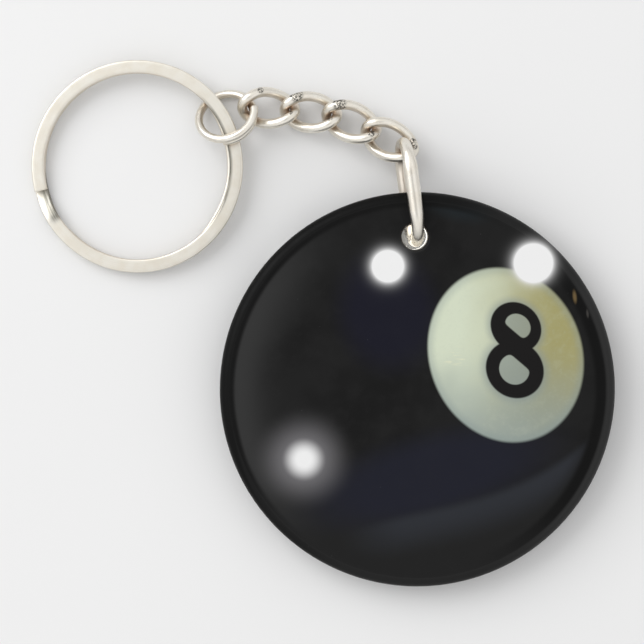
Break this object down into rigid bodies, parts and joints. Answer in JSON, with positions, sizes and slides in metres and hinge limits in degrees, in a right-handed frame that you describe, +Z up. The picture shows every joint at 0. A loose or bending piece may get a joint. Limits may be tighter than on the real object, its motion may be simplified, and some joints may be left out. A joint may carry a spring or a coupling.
{
  "type": "key ring with printed ball fob",
  "caption": "Round glossy acrylic fob printed as a black numbered ball, hung by an oval jump ring and a short curb chain from a split key ring.",
  "frame": {"origin": "on the table, at the middle of the whole key ring's outline as it lies flat", "axes": "+Z up from the table, towards the fob's front face; +Y from the fob's middle towards its drilled hole; +X to the right as seen from above"},
  "size_m": [0.0754, 0.068, 0.009],
  "materials": {
    "acrylic": "drilled and polished acrylic",
    "print": "high gloss over a printed picture",
    "plated_wire": "bright nickel plate, worn along the bends"
  },
  "bodies": {
    "fob": {"fob_core": "acrylic", "front_print": "print", "back_print": "print"},
    "fob_ring": {"fob_ring": "plated_wire"},
    "chain_link_4": {"chain_link_4": "plated_wire"},
    "chain_link_3": {"chain_link_3": "plated_wire"},
    "chain_link_2": {"chain_link_2": "plated_wire"},
    "chain_link_1": {"chain_link_1": "plated_wire"},
    "small_ring": {"small_ring": "plated_wire"},
    "split_ring": {"split_ring": "plated_wire"}
  },
  "joints": [
    {"name": "fob_ring_swing", "type": "hinge", "parent": "fob", "child": "fob_ring", "pos_m": [0.01188, 0.01108, 0.00427], "axis": [0, -0.0427, 0.9991], "range_deg": [-60, 18]},
    {"name": "chain_link_4_swing", "type": "hinge", "parent": "fob_ring", "child": "chain_link_4", "pos_m": [0.01038, 0.02282, 0.00349], "axis": [0.0701, 0.3304, 0.9412], "range_deg": [-40, 12]},
    {"name": "chain_link_3_turn", "type": "hinge", "parent": "chain_link_4", "child": "chain_link_3", "pos_m": [0.00702, 0.02466, 0.00247], "axis": [-0.2706, -0.6014, 0.7517], "range_deg": [-60, 36]},
    {"name": "chain_link_2_turn", "type": "hinge", "parent": "chain_link_3", "child": "chain_link_2", "pos_m": [0.00056, 0.02697, 0.00189], "axis": [-0.0398, -0.6761, -0.7357], "range_deg": [-16, 60]},
    {"name": "chain_link_1_turn", "type": "hinge", "parent": "chain_link_2", "child": "chain_link_1", "pos_m": [-0.00346, 0.02763, 0.00176], "axis": [0.0501, -0.6215, 0.7818], "range_deg": [-48, 24]},
    {"name": "small_ring_fold", "type": "hinge", "parent": "chain_link_1", "child": "small_ring", "pos_m": [-0.01004, 0.02881, 0.00351], "axis": [-0.0398, 0.6169, 0.786], "range_deg": [-48, 12]},
    {"name": "split_ring_spin", "type": "hinge", "parent": "small_ring", "child": "split_ring", "pos_m": [-0.02392, 0.02025, 0.00156], "axis": [-0.0454, -0.0381, 0.9982], "continuous": true}
  ]
}
